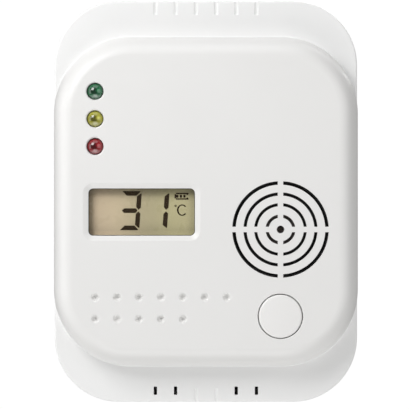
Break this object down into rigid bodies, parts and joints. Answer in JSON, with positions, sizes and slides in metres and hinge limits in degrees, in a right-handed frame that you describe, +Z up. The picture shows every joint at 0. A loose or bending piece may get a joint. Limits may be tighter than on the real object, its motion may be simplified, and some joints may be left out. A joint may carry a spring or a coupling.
{
  "type": "carbon monoxide detector",
  "caption": "Wall-hung carbon monoxide detector: stepped white cover with indicator lamps, display window, ring-slot siren grille, test button, rear battery door and hook plate.",
  "frame": {"origin": "back face of the wall plate, at the middle of the detector seen from the front", "axes": "+Z up, along the detector's height; +Y into the wall, so the front faces -Y; +X to the right as seen from the front"},
  "size_m": [0.1014, 0.0366, 0.134],
  "materials": {
    "shell": "satin white ABS with a fine moulded grain",
    "button": "satin white ABS, slightly smoother than the shell",
    "clear_window": "clear polished sheet",
    "display_panel": "olive-beige reflective liquid crystal with dark segments",
    "lens_green": "clear tinted resin dome",
    "lens_yellow": "clear tinted resin dome",
    "lens_red": "clear tinted resin dome",
    "grey_plastic": "plain moulded",
    "black_plastic": "plain moulded",
    "brown_plastic": "plain moulded, dark grey-brown",
    "board": "green solder mask on glass-fibre board",
    "elastomer": "striped connector strip",
    "piezo_brass": "rolled sheet",
    "piezo_ceramic": "silvered ceramic",
    "steel": "nickel-plated",
    "cell_sleeve": "printed film sleeve over a steel can"
  },
  "bodies": {
    "wall_bracket": {"wall_plate": "shell"},
    "housing": {"front_cover": "shell", "rear_housing": "shell", "display_window": "clear_window", "display_glass": "display_panel", "lamp_green": "lens_green", "lamp_yellow": "lens_yellow", "lamp_red": "lens_red", "display_frame": "grey_plastic", "lamp_spacer_green": "black_plastic", "lamp_spacer_yellow": "black_plastic", "lamp_spacer_red": "black_plastic", "siren_housing": "black_plastic", "siren_resonator": "black_plastic", "test_switch_body": "black_plastic", "microcontroller": "black_plastic", "siren_coil": "black_plastic", "temperature_sensor": "black_plastic", "gas_sensor_filter_cap": "black_plastic", "siren_tuning_cap": "brown_plastic", "main_board": "board", "display_connector_upper": "elastomer", "display_connector_lower": "elastomer", "piezo_disc": "piezo_brass", "piezo_ceramic": "piezo_ceramic", "gas_sensor_can": "steel", "filter_capacitor": "steel", "contact_bridge": "steel", "contact_positive": "steel", "contact_negative": "steel", "contact_spring_upper": "steel", "contact_spring_lower": "steel", "housing_screw_1": "steel", "housing_screw_2": "steel", "housing_screw_3": "steel", "housing_screw_4": "steel", "board_screw_1": "steel", "board_screw_2": "steel", "board_screw_3": "steel", "board_screw_4": "steel", "cell_upper": "cell_sleeve", "cell_lower": "cell_sleeve"},
    "battery_door": {"battery_door": "shell"},
    "test_button": {"test_button": "button"},
    "switch_plunger": {"switch_plunger": "grey_plastic"}
  },
  "joints": [
    {"name": "housing_lift", "type": "slide", "parent": "wall_bracket", "child": "housing", "axis": [0, 0, 1], "range_m": [0, 0.006]},
    {"name": "battery_door_swing", "type": "hinge", "parent": "housing", "child": "battery_door", "pos_m": [0, -0.0045, 0.0486], "axis": [1, 0, 0], "range_deg": [0, 95]},
    {"name": "test_button_press", "type": "slide", "parent": "housing", "child": "test_button", "axis": [0, 1, 0], "range_m": [0, 0.0008], "stiffness_N_per_m": 2000},
    {"name": "switch_plunger_press", "type": "slide", "parent": "housing", "child": "switch_plunger", "axis": [0, 1, 0], "range_m": [0, 0.0008]}
  ],
  "couplings": [
    {"joint": "switch_plunger_press", "follows": "test_button_press", "ratio": 1}
  ]
}
